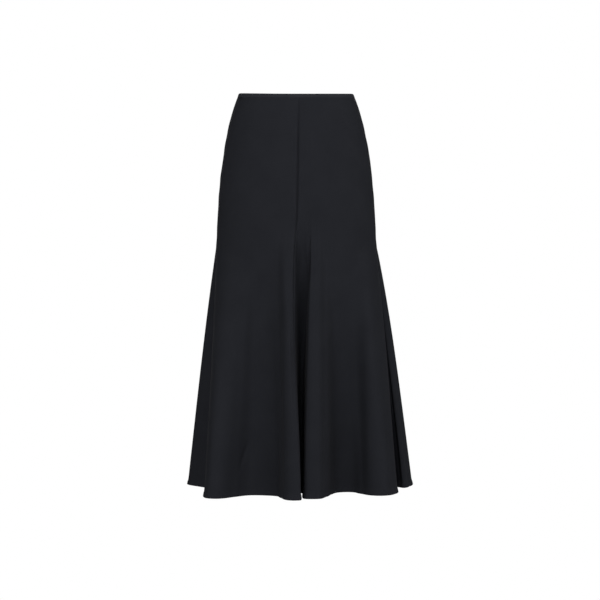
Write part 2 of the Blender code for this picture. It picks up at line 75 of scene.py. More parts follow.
# The hem line's crests, walls and valleys, anticlockwise from the centre front seam. around: 0 front seam,
# 1 left side seam, 2 back seam, 3 right side seam. heading: the line's direction in degrees from +X, and
# reach how far it holds. starts: depth at which the fold sets in. rise: exponent of its growth.
# bowX, bowY: how far the fold bows to a side between its start and the hem.
hemColumns = "around x y heading reach starts rise bowX bowY"
hemRows = (
    (0.000, 0.0099, -0.2145, 85.0, 0.80, 0.275, 0.85, -0.0068, 0.0000),
    (0.034, 0.0066, -0.1330, 90.0, 0.90, 0.280, 0.90, -0.0030, 0.0030),
    (0.058, 0.0104, -0.1115, 0.0, 1.10, 0.280, 0.90, 0.0000, 0.0040),
    (0.088, 0.0146, -0.1350, -89.0, 0.90, 0.280, 0.90, 0.0000, 0.0030),
    (0.118, 0.0150, -0.1935, -85.0, 0.90, 0.281, 0.91, 0.0000, 0.0010),
    (0.130, 0.0183, -0.2052, -43.0, 1.10, 0.282, 0.91, 0.0000, 0.0000),
    (0.150, 0.0264, -0.2090, -8.0, 1.00, 0.284, 0.91, 0.0000, 0.0000),
    (0.180, 0.0400, -0.2085, 2.0, 1.00, 0.290, 0.95, 0.0000, 0.0000),
    (0.240, 0.0600, -0.1760, 67.0, 1.00, 0.340, 1.08, 0.0000, 0.0000),
    (0.330, 0.1000, -0.1038, 8.0, 1.15, 0.370, 1.05, 0.0000, 0.0060),
    (0.480, 0.1320, -0.1260, -48.0, 1.00, 0.350, 1.00, 0.0000, 0.0020),
    (0.660, 0.1702, -0.1555, -1.0, 1.10, 0.320, 1.00, 0.0000, -0.0100),
    (0.800, 0.1990, -0.1330, 66.0, 1.00, 0.315, 1.00, 0.0010, 0.0000),
    (0.925, 0.2098, -0.0900, 92.0, 1.00, 0.315, 1.00, 0.0020, 0.0000),
    (0.970, 0.2046, -0.0190, 88.0, 0.80, 0.313, 1.00, -0.0030, 0.0010),
    (1.000, 0.2090, -0.0030, 5.0, 1.30, 0.310, 1.00, -0.0055, 0.0010),
    (1.034, 0.2166, -0.0125, -46.0, 1.00, 0.309, 0.97, -0.0015, 0.0000),
    (1.064, 0.2270, -0.0185, 20.0, 1.00, 0.308, 0.94, 0.0000, 0.0000),
    (1.088, 0.2400, 0.0080, 66.0, 1.00, 0.305, 0.88, 0.0000, -0.0040),
    (1.120, 0.2500, 0.0600, 90.0, 1.15, 0.300, 0.81, 0.0000, -0.0120),
    (1.330, 0.2120, 0.1240, 165.0, 1.15, 0.330, 1.00, 0.0000, 0.0000),
    (1.520, 0.1480, 0.1280, 160.0, 1.15, 0.380, 1.05, 0.0000, 0.0000),
    (1.850, 0.0600, 0.2180, 178.0, 1.15, 0.330, 1.00, 0.0000, 0.0000),
    (1.950, 0.0110, 0.1720, -92.0, 1.15, 0.315, 1.00, 0.0000, 0.0000),
    (2.000, 0.0040, 0.1260, 180.0, 1.15, 0.315, 1.00, 0.0000, 0.0000),
    (2.050, -0.0050, 0.1730, 92.0, 1.15, 0.315, 1.00, 0.0000, 0.0000),
    (2.115, -0.0300, 0.2220, 180.0, 1.15, 0.320, 1.00, 0.0000, 0.0000),
    (2.380, -0.1120, 0.1400, 182.0, 1.15, 0.390, 1.10, 0.0000, 0.0000),
    (2.660, -0.1920, 0.1400, 200.0, 1.15, 0.330, 1.00, 0.0000, 0.0000),
    (2.910, -0.2330, 0.0560, 270.0, 1.15, 0.300, 0.88, 0.0000, -0.0060),
    (2.965, -0.2180, 0.0210, 308.0, 1.00, 0.305, 0.95, 0.0000, 0.0000),
    (2.985, -0.2040, 0.0030, 300.0, 1.00, 0.310, 0.95, 0.0000, 0.0020),
    (3.000, -0.1840, -0.0400, 286.0, 0.90, 0.315, 1.00, 0.0040, 0.0000),
    (3.070, -0.1858, -0.1250, 270.0, 1.15, 0.320, 1.10, 0.0000, 0.0000),
    (3.380, -0.1605, -0.2045, 0.0, 1.05, 0.330, 1.05, 0.0000, 0.0000),
    (3.600, -0.1230, -0.1730, 44.0, 1.00, 0.350, 1.00, 0.0000, 0.0000),
    (3.690, -0.0830, -0.1455, -2.0, 1.20, 0.350, 1.00, 0.0000, 0.0030),
    (3.855, -0.0335, -0.1900, -61.0, 1.00, 0.300, 0.95, 0.0000, 0.0020),
    (3.925, -0.0045, -0.2330, -10.0, 1.00, 0.278, 0.87, 0.0000, -0.0060),
    (3.965, 0.0060, -0.2312, 13.0, 1.00, 0.275, 0.85, -0.0056, 0.0000),
    (3.984, 0.0099, -0.2258, 82.0, 0.90, 0.275, 0.85, -0.0062, 0.0000),
)


def readTable(columns, rows):
    # each column of a table by its name
    return {name: np.array(values, float) for name, values in zip(columns.split(), zip(*rows))}


def hermite(t, start, end, leave, arrive):
    # from start to end by their slopes, t being the share of the way
    return ((2 * t**3 - 3 * t**2 + 1) * start + (t**3 - 2 * t**2 + t) * leave
            + (3 * t**2 - 2 * t**3) * end + (t**3 - t**2) * arrive)


def smooth(knots, values, where):
    # a smooth curve through values at rising knots, which never runs past a value
    secants = np.diff(values) / np.diff(knots)
    before, after = secants[:-1], secants[1:]
    total = np.where(before * after > 0.0, before + after, np.inf)
    slopes = np.concatenate([secants[:1], 2 * before * after / total, secants[-1:]])
    i = np.clip(np.searchsorted(knots, where, side="right") - 1, 0, len(knots) - 2)
    span = knots[i + 1] - knots[i]
    t = np.clip((where - knots[i]) / span, 0.0, 1.0)
    return hermite(t, values[i], values[i + 1], slopes[i] * span, slopes[i + 1] * span)


def wrapped(values, turn=0.0):
    # one row before the ring's first and two after its last
    return np.concatenate([[values[-1] - turn], values, values[:2] + turn])


fit = readTable(fitColumns, fitRows)
hemTable = readTable(hemColumns, hemRows)
hem = {name: wrapped(hemTable[name]) for name in hemTable}
hem["around"] = wrapped(hemTable["around"], skirt["seamsRound"])
hem["heading"] = np.radians(hem["heading"])
hemChords = np.hypot(np.diff(hem["x"]), np.diff(hem["y"]))
hemKnots = np.concatenate([[0.0], np.cumsum(hemChords)]) - hemChords[0]
bowHeight = 1 / (skirt["bowPeak"]**2 * (1 - skirt["bowPeak"])**3)   # brings the bow's peak to 1


def hemPoint(s):
    # the hem line at distance s along its chords
    i = np.clip(np.searchsorted(hemKnots, s, side="right") - 1, 0, len(hemKnots) - 2)
    span = hemKnots[i + 1] - hemKnots[i]
    t = (s - hemKnots[i]) / span
    leave = hem["reach"][i] * span
    arrive = hem["reach"][i + 1] * span
    a, b = hem["heading"][i], hem["heading"][i + 1]
    x = hermite(t, hem["x"][i], hem["x"][i + 1], leave * np.cos(a), arrive * np.cos(b))
    y = hermite(t, hem["y"][i], hem["y"][i + 1], leave * np.sin(a), arrive * np.sin(b))
    return x, y


def fitPoint(angle, down):
    # the fitted part's oval at an angle round from the front and at a depth
    sizes = (smooth(fit["down"], fit[name], down) for name in fitColumns.split()[1:])
    left, right, front, back, seam = sizes
    side = np.where(np.sin(angle) >= 0, left, right)
    depth = np.where(np.cos(angle) >= 0, front, back)
    wander = seam * np.clip(np.cos(angle), 0.0, 1.0) ** 2
    return side * np.sin(angle) + wander, -depth * np.cos(angle)


def place(s, down):
    # the outer face of the cloth at hem distance s and nominal depth down
    s, down = np.broadcast_arrays(np.asarray(s, float), np.asarray(down, float))
    angle = smooth(hemKnots, hem["around"], s) * (math.pi / 2)
    front = np.clip(np.cos(angle), 0.0, 1.0)
    back = np.clip(-np.cos(angle), 0.0, 1.0)
    left = np.clip(np.sin(angle), 0.0, 1.0)
    power = skirt["dipPower"]
    dip = skirt["frontDip"] * front**power + skirt["backDip"] * back**power + skirt["leftDip"] * left**2
    depth = down + dip * np.clip(1.0 - down / skirt["dipFade"], 0.0, 1.0) ** 2
    starts = smooth(hemKnots, hem["starts"], s)
    share = np.clip((depth - starts) / (skirt["length"] - starts), 0.0, None)
    softness = skirt["flareSoftness"]
    soft = np.sqrt(share**2 + softness**2) - softness
    grown = soft / (math.sqrt(1.0 + softness**2) - softness)
    flare = grown ** smooth(hemKnots, hem["rise"], s)
    bow = bowHeight * grown**2 * np.clip(1.0 - grown, 0.0, None) ** 3
    fitX, fitY = fitPoint(angle, depth)
    hemX, hemY = hemPoint(s)
    x = fitX + flare * (hemX - fitX) + bow * smooth(hemKnots, hem["bowX"], s)
    y = fitY + flare * (hemY - fitY) + bow * smooth(hemKnots, hem["bowY"], s)
    return np.stack([x, y, -depth], axis=-1)


def slopeAcross(s, down):
    step = skirt["probe"]
    return (place(s + step, down) - place(s - step, down)) / (2 * step)


def slopeDown(s, down):
    step = skirt["probe"]
    return (place(s, down + step) - place(s, down - step)) / (2 * step)


def outward(s, down):
    # away from the wearer, square to the cloth
    normal = np.cross(slopeDown(s, down), slopeAcross(s, down))
    return normal / np.linalg.norm(normal, axis=-1, keepdims=True)


def stretch(s, down):
    # real distance along the cloth for one unit of s
    return np.linalg.norm(slopeAcross(s, down), axis=-1)


def seamAt(number):
    # distance s of a seam, 0 at the front and then anticlockwise
    row = int(np.argmin(np.abs(hem["around"][1:] - number))) + 1
    return hemKnots[row]


# Soft troughs and ridges of the hanging cloth. around and down: where one starts. width: half its breadth.
# height: out of the cloth, below 0 for a trough. lean: its drift in around.
creaseColumns = "around down length width height lean"
creaseRows = (
    (0.000, 0.255, 0.330, 0.003, -0.0020, 0.000),
    (0.016, 0.270, 0.310, 0.005, -0.0034, 0.000),
    (0.062, 0.250, 0.350, 0.011, -0.0104, 0.000),
    (0.152, 0.235, 0.250, 0.012, -0.0026, 0.000),
    (0.140, 0.240, 0.220, 0.010, -0.0024, 0.000),
    (0.119, 0.100, 0.110, 0.024, 0.0005, 0.020),
    (0.235, 0.500, 0.640, 0.010, -0.0010, 0.010),
    (0.292, 0.580, 0.360, 0.009, -0.0010, -0.020),
    (0.386, 0.170, 0.130, 0.020, 0.0006, 0.010),
    (0.402, 0.470, 0.740, 0.024, -0.0130, -0.100),
    (0.388, 0.390, 0.620, 0.010, 0.0016, -0.055),
    (0.474, 0.480, 0.400, 0.010, -0.0016, -0.030),
    (0.530, 0.450, 0.560, 0.013, -0.0040, -0.050),
    (0.772, 0.420, 0.600, 0.011, 0.0012, -0.105),
    (0.800, 0.640, 0.330, 0.012, -0.0014, 0.000),
    (1.036, 0.335, 0.660, 0.010, -0.0076, 0.000),
    (1.200, 0.380, 0.620, 0.016, 0.0018, 0.030),
    (1.360, 0.460, 0.520, 0.012, -0.0016, -0.020),
    (1.560, 0.090, 0.110, 0.020, 0.0006, 0.030),
    (1.640, 0.420, 0.560, 0.015, 0.0016, 0.010),
    (1.760, 0.300, 0.340, 0.011, -0.0012, 0.015),
    (1.880, 0.190, 0.090, 0.016, -0.0006, -0.060),
    (2.120, 0.200, 0.080, 0.015, -0.0006, 0.050),
    (2.230, 0.330, 0.420, 0.012, -0.0013, -0.020),
    (2.340, 0.420, 0.600, 0.016, 0.0017, 0.010),
    (2.480, 0.110, 0.130, 0.020, 0.0007, -0.030),
    (2.560, 0.500, 0.460, 0.012, -0.0014, 0.020),
    (2.780, 0.390, 0.600, 0.015, 0.0016, -0.020),
    (2.990, 0.380, 0.660, 0.010, -0.0062, 0.000),
    (3.262, 0.420, 0.600, 0.013, 0.0012, 0.115),
    (3.530, 0.230, 0.240, 0.024, 0.0011, 0.010),
    (3.572, 0.430, 0.320, 0.012, -0.0012, 0.020),
    (3.670, 0.715, 0.075, 0.005, -0.0018, -0.060),
    (3.792, 0.400, 0.780, 0.023, -0.0140, -0.010),
    (3.740, 0.400, 0.700, 0.012, 0.0014, -0.010),
    (3.872, 0.380, 0.720, 0.013, -0.0034, -0.010),
    (3.945, 0.360, 0.560, 0.006, 0.0008, 0.000),
)
creaseFade = 1.5   # above 1, a crease fades in and out more softly at its ends
ringLength = seamAt(skirt["seamsRound"])


def creaseRelief(s, down, spread):
    # height of the creases at s and down, where one unit of s is spread metres of cloth
    relief = 0.0 * s * down
    for row in creaseRows:
        crease = dict(zip(creaseColumns.split(), row))
        share = np.clip((down - crease["down"]) / crease["length"], 0.0, 1.0)
        line = np.interp(crease["around"] + crease["lean"] * share, hem["around"], hemKnots)
        apart = (s - line + ringLength / 2) % ringLength - ringLength / 2
        along = np.sin(math.pi * share) ** creaseFade
        relief = relief + crease["height"] * along * np.exp(-((apart * spread / crease["width"]) ** 2))
    return relief


def ripple(distance, waves, shift=0.0):
    # a sum of waves, each with its step, its share and its phase
    return sum(share * np.sin(distance / step + phase + shift) for step, share, phase in waves)


print("form set out")


def linear(hexColour):
    # the one place where an sRGB hex colour turns to linear values
    values = [int(hexColour[i:i + 2], 16) / 255 for i in (1, 3, 5)]
    return tuple(v / 12.92 if v <= 0.04045 else ((v + 0.055) / 1.055) ** 2.4 for v in values) + (1.0,)


def addNode(tree, kind, settings=None, links=None):
    # a node with its properties, its sockets' values (text for a hex colour) and the links into it
    node = tree.nodes.new(kind)
    for key, value in (settings or {}).items():
        if isinstance(key, str) and hasattr(node, key):
            setattr(node, key, value)
        else:
            node.inputs[key].default_value = linear(value) if isinstance(value, str) else value
    for key, source in (links or {}).items():
        tree.links.new(source, node.inputs[key])
    return node


def newMaterial(name):
    made = bpy.data.materials.new(name)
    made.use_nodes = True
    made.node_tree.nodes.clear()
    return made, made.node_tree


def finishMaterial(tree, dark, light, share, settings, links):
    # the shader, its colour between two hex colours by a node's output
    colour = addNode(tree, "ShaderNodeMix", {"data_type": "RGBA", 6: dark, 7: light}, {0: share})
    shader = addNode(tree, "ShaderNodeBsdfPrincipled", settings, {"Base Color": colour.outputs[2], **links})
    addNode(tree, "ShaderNodeOutputMaterial", None, {"Surface": shader.outputs["BSDF"]})


wavePeriod = math.pi / 10   # a wave texture of scale 1 repeats after this distance

crepe = {
    "dark": "#1E1F23",
    "light": "#202125",
    "paintedHighlightDark": "#242529",   # the edging is the skirt's own crepe made lighter: a painted highlight for the light its rolled top catches from above
    "paintedHighlightLight": "#28292D",
    "mottleSize": 0.060,       # metres across a patch of slightly deeper dye
    "mottleDetail": 3.0,
    "pebbleSize": 0.0014,      # real pebbles are about 0.5 mm; drawn three times as coarse to show
    "pebbleHeight": 0.00005,
    "pebbleTone": 0.35,        # how much of the tone follows the pebbles
    "toneSpan": (0.38, 0.62),  # the tone runs from dark to light between these
    "threadSpacing": 0.00754,  # real threads lie 0.35 mm apart; drawn about twenty times as coarse to show
    "threadHeight": 0.00002,
    "threadWander": {"Distortion": 1.5, "Detail": 1.0, "Detail Scale": 2.0},
    "roughness": 0.90,
    "specular": 0.03,
    "sheen": 0.01,
    "sheenRoughness": 0.5,
}


def crepeMaterial(name, dark, light):
    # Polyester crepe, woven of hard-twisted yarn and piece-dyed black: matt and finely pebbled,
    # with a faint nap.
    made, tree = newMaterial(name)
    uv = addNode(tree, "ShaderNodeUVMap", {"uv_map": "clothUV"}).outputs["UV"]
    mottle = addNode(tree, "ShaderNodeTexNoise",
                     {"Scale": 1 / crepe["mottleSize"], "Detail": crepe["mottleDetail"]}, {"Vector": uv})
    pebbles = addNode(tree, "ShaderNodeTexNoise", {"Scale": 1 / crepe["pebbleSize"]}, {"Vector": uv})
    threads = addNode(tree, "ShaderNodeTexWave",
                      {"Scale": wavePeriod / crepe["threadSpacing"], **crepe["threadWander"],
                       "bands_direction": "Y"}, {"Vector": uv})
    tone = addNode(tree, "ShaderNodeMix", {"Factor": crepe["pebbleTone"]},
                   {2: mottle.outputs["Fac"], 3: pebbles.outputs["Fac"]})
    lowest, highest = crepe["toneSpan"]
    share = addNode(tree, "ShaderNodeMapRange", {"From Min": lowest, "From Max": highest},
                    {"Value": tone.outputs[0]})
    weave = addNode(tree, "ShaderNodeBump", {"Strength": 1.0, "Distance": crepe["threadHeight"]},
                    {"Height": threads.outputs["Fac"]})
    bump = addNode(tree, "ShaderNodeBump", {"Strength": 1.0, "Distance": crepe["pebbleHeight"]},
                   {"Height": pebbles.outputs["Fac"], "Normal": weave.outputs["Normal"]})
    finishMaterial(tree, dark, light, share.outputs["Result"],
                   {"Roughness": crepe["roughness"], "Specular IOR Level": crepe["specular"],
                    "Sheen Weight": crepe["sheen"], "Sheen Roughness": crepe["sheenRoughness"]},
                   {"Normal": bump.outputs["Normal"]})
    return made


tapeFinish = {
    "dark": "#131316",
    "light": "#1E1E21",
    "ribSpacing": 0.00503,   # real ribs are 0.4 mm apart; drawn about twelve times as coarse to show
    "ribHeight": 0.00008,
    "ribWander": 0.3,
    "roughness": 0.8,
    "specular": 0.2,
}


def tapeMaterial():
    # Woven polyester zip tape: matt, with fine even ribs across it.
    made, tree = newMaterial("ribbedZipTape")
    uv = addNode(tree, "ShaderNodeUVMap", {"uv_map": "clothUV"}).outputs["UV"]
    ribs = addNode(tree, "ShaderNodeTexWave",
                   {"Scale": wavePeriod / tapeFinish["ribSpacing"], "Distortion": tapeFinish["ribWander"],
                    "bands_direction": "Y"}, {"Vector": uv})
    bump = addNode(tree, "ShaderNodeBump", {"Strength": 1.0, "Distance": tapeFinish["ribHeight"]},
                   {"Height": ribs.outputs["Fac"]})
    finishMaterial(tree, tapeFinish["dark"], tapeFinish["light"], ribs.outputs["Fac"],
                   {"Roughness": tapeFinish["roughness"], "Specular IOR Level": tapeFinish["specular"]},
                   {"Normal": bump.outputs["Normal"]})
    return made


metalFinish = {
    "dark": "#0B0B0D",
    "light": "#121214",
    "paintGrain": 0.0006,   # orange peel of sprayed enamel
    "paintHeight": 0.00001,
    "rubbedSize": 0.0036,   # across a patch that fingers have rubbed
    "rubbedDetail": 3.0,
    "roughness": (0.58, 0.70),
    "specular": 0.2,
}


def metalMaterial():
    # Zinc alloy, die-cast and sprayed with matt black enamel: dull, with a faint orange peel and
    # a little rubbing.
    made, tree = newMaterial("enamelledZinc")
    where = addNode(tree, "ShaderNodeTexCoord").outputs["Object"]
    peel = addNode(tree, "ShaderNodeTexNoise", {"Scale": 1 / metalFinish["paintGrain"]}, {"Vector": where})
    rubbed = addNode(tree, "ShaderNodeTexNoise",
                     {"Scale": 1 / metalFinish["rubbedSize"], "Detail": metalFinish["rubbedDetail"]},
                     {"Vector": where})
    smoothest, dullest = metalFinish["roughness"]
    gloss = addNode(tree, "ShaderNodeMapRange", {"To Min": smoothest, "To Max": dullest},
                    {"Value": rubbed.outputs["Fac"]})
    bump = addNode(tree, "ShaderNodeBump", {"Strength": 1.0, "Distance": metalFinish["paintHeight"]},
                   {"Height": peel.outputs["Fac"]})
    finishMaterial(tree, metalFinish["dark"], metalFinish["light"], rubbed.outputs["Fac"],
                   {"Specular IOR Level": metalFinish["specular"]},
                   {"Roughness": gloss.outputs["Result"], "Normal": bump.outputs["Normal"]})
    return made


coilFinish = {"dark": "#151518", "light": "#232327", "streak": 0.0008, "roughness": 0.42}


def coilMaterial():
    # Extruded nylon line, dyed black and wound: smooth, a little glossy, slightly streaked.
    made, tree = newMaterial("woundNylon")
    where = addNode(tree, "ShaderNodeTexCoord").outputs["Object"]
    streaks = addNode(tree, "ShaderNodeTexNoise", {"Scale": 1 / coilFinish["streak"]}, {"Vector": where})
    finishMaterial(tree, coilFinish["dark"], coilFinish["light"], streaks.outputs["Fac"],
                   {"Roughness": coilFinish["roughness"]}, {})
    return made


crepeCloth = crepeMaterial("wovenCrepe", crepe["dark"], crepe["light"])
# a lighter copy of the crepe for the waist edging: its colour holds a painted highlight on the rolled top
paintedHighlightCrepe = crepeMaterial("paintedHighlightCrepe", crepe["paintedHighlightDark"], crepe["paintedHighlightLight"])
print("crepe made")


def gridMesh(name, outer, inner, uvOuter):
    # a closed wall between two grids whose columns run anticlockwise and rows downwards
    rows, columns = outer.shape[:2]
    index = np.arange(rows * columns).reshape(rows, columns)
    a, b = index[:-1, :-1], index[:-1, 1:]
    c, d = index[1:, 1:], index[1:, :-1]
    under = rows * columns
    front = np.stack([d, c, b, a], axis=-1).reshape(-1, 4)
    back = np.stack([a, b, c, d], axis=-1).reshape(-1, 4) + under
    rim = np.concatenate([index[0], index[1:, -1], index[-1, -2::-1], index[-2:0:-1, 0]])
    after = np.roll(rim, -1)
    side = np.stack([rim, after, after + under, rim + under], axis=-1)
    faces = np.concatenate([front, back, side])
    uv = np.concatenate([uvOuter.reshape(-1, 2)] * 2)
    return finishedMesh(name, np.concatenate([outer, inner]).reshape(-1, 3), faces, uv)


def tubeMesh(name, rings, uvRings):
    # a closed tube through rings of points, with a flat cap at each end
    count, sides = rings.shape[:2]
    index = np.arange(count * sides).reshape(count, sides)
    following = np.roll(index, -1, axis=1)
    wall = np.stack([index[:-1], index[1:], following[1:], following[:-1]], axis=-1).reshape(-1, 4)
    middle = np.array([rings[0].mean(axis=0), rings[-1].mean(axis=0)])
    head, tail = count * sides, count * sides + 1
    caps = [(head, int(i), int(j)) for i, j in zip(index[0], following[0])]
    caps += [(tail, int(j), int(i)) for i, j in zip(index[-1], following[-1])]
    faces = wall.tolist() + caps
    uv = np.concatenate([uvRings.reshape(-1, 2), uvRings[[0, -1], 0]])
    return finishedMesh(name, np.concatenate([rings.reshape(-1, 3), middle]), faces, uv)


def finishedMesh(name, points, faces, uv):
    mesh = bpy.data.meshes.new(name)
    mesh.from_pydata(points.tolist(), [], faces if isinstance(faces, list) else faces.tolist())
    layer = mesh.uv_layers.new(name="clothUV")
    corners = np.empty(len(mesh.loops), dtype=np.int32)
    mesh.loops.foreach_get("vertex_index", corners)
    layer.data.foreach_set("uv", uv[corners].astype(np.float32).reshape(-1))
    mesh.shade_smooth()
    return mesh


def addPiece(name, mesh, finish, replaced=None):
    piece = bpy.data.objects.new(name, mesh)
    bpy.context.scene.collection.objects.link(piece)
    piece.data.materials.append(finish)
    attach(piece, "root")
    if replaced:
        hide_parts(replaced)
    return piece


def alongRows(points):
    # real distance along each row from its first column
    steps = np.linalg.norm(np.diff(points, axis=1), axis=-1)
    return np.concatenate([np.zeros((len(points), 1)), np.cumsum(steps, axis=1)], axis=1)


gores = {
    "top": 0.0013,           # cloth ends this far below the edging's rolled top
    "rowStep": 0.0060,
    "columns": 240,
    "turnCost": 0.020,       # metres of cloth that a radian of turn counts for when columns are shared out
    "hemSamples": 3000,      # places at which the hem line's turn is measured
    "seamRoll": (0.0036, 0.0026, 0.0018, 0.0026),   # how far the cloth rolls in at each seam
    "seamRollWidth": 0.0021,
    "rollSetsIn": 0.060,     # the roll grows from the waist edge over about this depth
    "innerRoll": 0.80,       # share of the roll that its inside follows
    "edge": (0.0, 0.0004, 0.0008, 0.0014, 0.0024, 0.0040, 0.0064, 0.0100),   # columns beside a seam
    "pucker": 0.00028,       # the cloth is eased a little by the seam's thread
    "puckerWidth": 0.0075,
    "puckerWaves": ((0.0083, 1.0, 0.0), (0.0057, 0.7, 1.3)),   # step, share and phase of each
}

# Section of the turned hem: heights above the edge and distances out from the cloth's face.
hemSectionColumns = "aboveOuter outOuter aboveInner outInner"
hemSectionRows = (
    (0.0150, 0.0000, 0.0150, -0.0015),
    (0.0110, 0.0002, 0.0110, -0.0014),
    (0.0085, 0.0006, 0.0085, -0.0010),
    (0.0075, 0.0009, 0.0074, -0.0008),
    (0.0069, 0.0011, 0.0072, -0.0018),
    (0.0062, 0.0012, 0.0066, -0.0019),
    (0.0045, 0.0014, 0.0045, -0.0015),
    (0.0028, 0.0016, 0.0028, -0.0012),
    (0.0014, 0.0018, 0.0014, -0.0009),
    (0.0005, 0.0016, 0.0005, -0.0005),
    (0.0000, 0.0010, 0.0000, 0.0002),
)

# Each gore by its solid's name: the seams it starts and ends at, and its flat cut's width, length and area.
goreColumns = "first last width length area"
goreRows = {
    "front_gore_left": (0, 1, 0.62, 0.86, 0.291),
    "back_gore_left": (1, 2, 0.52, 0.86, 0.263),
    "back_gore_right": (2, 3, 0.53, 0.86, 0.267),
    "front_gore_right": (3, 4, 0.44, 0.86, 0.237),
}

zipper = {
    "seam": 2,
    "sliderDown": 0.0160,     # middle of the slider below the waist edge
    "neckRoom": 0.00095,      # the seam stands open this far each side of the slider's neck
    "neckHalfHeight": 0.0031,
    "neckRows": (0.0114, 0.0210, 12),
    "tapeTop": 0.0096,
    "tapeLength": 0.185,
    "tapeWidth": 0.0100,
    "tapeBehind": 0.0019,     # from the cloth's outer face to the tape
    "tapeWall": 0.0007,
    "coilTop": 0.0216,
    "coilEnd": 0.190,
    "coilBehind": 0.0036,
    "coilHalf": (0.0014, 0.0007),   # half breadth and depth of the row of loops
    "coilPitch": 0.0013,
    "wireRadius": 0.0003,
    "wireSides": 6,
    "pointsATurn": 12,
}


def seamGapAt(seam, down):
    # half the gap between the gores at a seam: they meet, but for the room round the slider's neck
    if seam != zipper["seam"]:
        return 0.0 * down
    return zipper["neckRoom"] * np.exp(-(((down - zipper["sliderDown"]) / zipper["neckHalfHeight"]) ** 4))


def columnShares(start, end):
    # shares of the way between two seams, closer together where the hem line turns
    s = np.linspace(start, end, gores["hemSamples"])
    x, y = hemPoint(s)
    turn = np.abs(np.diff(np.unwrap(np.arctan2(np.diff(y), np.diff(x)))))
    cost = np.hypot(np.diff(x), np.diff(y)) + gores["turnCost"] * np.concatenate([turn[:1], turn])
    spent = np.concatenate([[0.0], np.cumsum(cost)])
    even = np.linspace(0.0, spent[-1], gores["columns"])[1:-1]
    return (np.interp(even, spent, s) - start) / (end - start)


def seamRelief(seam, distance, down):
    # the cloth rolls in at a seam and is puckered a little beside it
    deepest = gores["seamRoll"][seam % skirt["seamsRound"]] * (1.0 - np.exp(-down / gores["rollSetsIn"]))
    roll = -deepest * np.exp(-((distance / gores["seamRollWidth"]) ** 2))
    near = distance / gores["puckerWidth"]
    return roll + gores["pucker"] * ripple(down, gores["puckerWaves"]) * near * np.exp(0.5 - near**2)


def makeGore(name):
    # a shell on the skirt's form between two seams, thicker where its hem is turned up
    cut = dict(zip(goreColumns.split(), goreRows[name]))
    start, end = seamAt(cut["first"]), seamAt(cut["last"])
    section = readTable(hemSectionColumns, hemSectionRows)
    plainEnd = skirt["length"] - section["aboveOuter"][0]
    plain = np.linspace(gores["top"], plainEnd, int((plainEnd - gores["top"]) / gores["rowStep"]))[:-1]
    if zipper["seam"] in (cut["first"], cut["last"]):
        plain = np.sort(np.concatenate([plain, np.linspace(*zipper["neckRows"])]))
    downOuter = np.concatenate([plain, skirt["length"] - section["aboveOuter"]])[:, None]
    downInner = np.concatenate([plain, skirt["length"] - section["aboveInner"]])[:, None]
    outOuter = np.concatenate([0 * plain, section["outOuter"]])[:, None]
    outInner = np.concatenate([0 * plain - skirt["cloth"], section["outInner"]])[:, None]
    edge = np.array(gores["edge"])
    first = start + (edge + seamGapAt(cut["first"], downOuter)) / stretch(start, downOuter)
    last = end - (edge[::-1] + seamGapAt(cut["last"], downOuter)) / stretch(end, downOuter)
    middle = first[:, -1:] + columnShares(start, end) * (last[:, :1] - first[:, -1:])
    s = np.concatenate([first, middle, last], axis=1)
    face = place(s, downOuter)
    across = alongRows(face)
    relief = creaseRelief(s, downOuter, stretch(s, downOuter))
    seam = seamRelief(cut["first"], across, downOuter)
    seam = seam + seamRelief(cut["last"], across[:, -1:] - across, downOuter)
    offOuter = outOuter + relief + seam
    offInner = outInner + relief + gores["innerRoll"] * seam
    outer = face + outward(s, downOuter) * offOuter[..., None]
    inner = place(s, downInner) + outward(s, downInner) * offInner[..., None]
    uv = np.stack([across - across[:, -1:] / 2, -downOuter + 0 * s], axis=-1)
    mesh = gridMesh(name + "_cloth", outer, inner, uv)
    piece = addPiece(name + "_cloth", mesh, crepeCloth, name)


for goreName in goreRows:
    makeGore(goreName)
    print("gore made:", goreName)

edging = {
    "cut": (0.68, 0.022),
    "step": 0.0020,          # between sections of the roll
    "samples": 6000,         # places at which the waist's length is measured
    "pucker": 0.00018,       # how unevenly the roll stands out
    "puckerWaves": ((0.0061, 0.5, 6.1), (0.0034, 0.5, 3.4), (0.0109, 0.5, 10.9)),   # step, share and phase
    "fullOut": 0.0010,       # the part of the section that puckers most
    "endGap": 0.00005,       # at the back seam
}

# Section of the roll: distance outside the cloth's outer face and depth below its top. It runs from the
# outer lower edge over the top, down inside, and back up round the gores' edge.
edgingColumns = "out down"
edgingRows = (
    (-0.0004, 0.0100),
    (0.0001, 0.0098),
    (0.0003, 0.0086),
    (0.0006, 0.0070),
    (0.0008, 0.0050),
    (0.0010, 0.0032),
    (0.0009, 0.0017),
    (0.0004, 0.0007),
    (-0.0002, 0.0002),
    (-0.0009, 0.0000),
    (-0.0016, 0.0003),
    (-0.0022, 0.0010),
    (-0.0026, 0.0024),
    (-0.0027, 0.0050),
    (-0.0026, 0.0080),
    (-0.0022, 0.0090),
    (-0.0018, 0.0088),
    (-0.0018, 0.0050),
    (-0.0018, 0.0016),
    (-0.0012, 0.0010),
    (-0.0003, 0.0010),
    (0.0001, 0.0016),
    (0.0001, 0.0050),
    (0.0000, 0.0086),
)


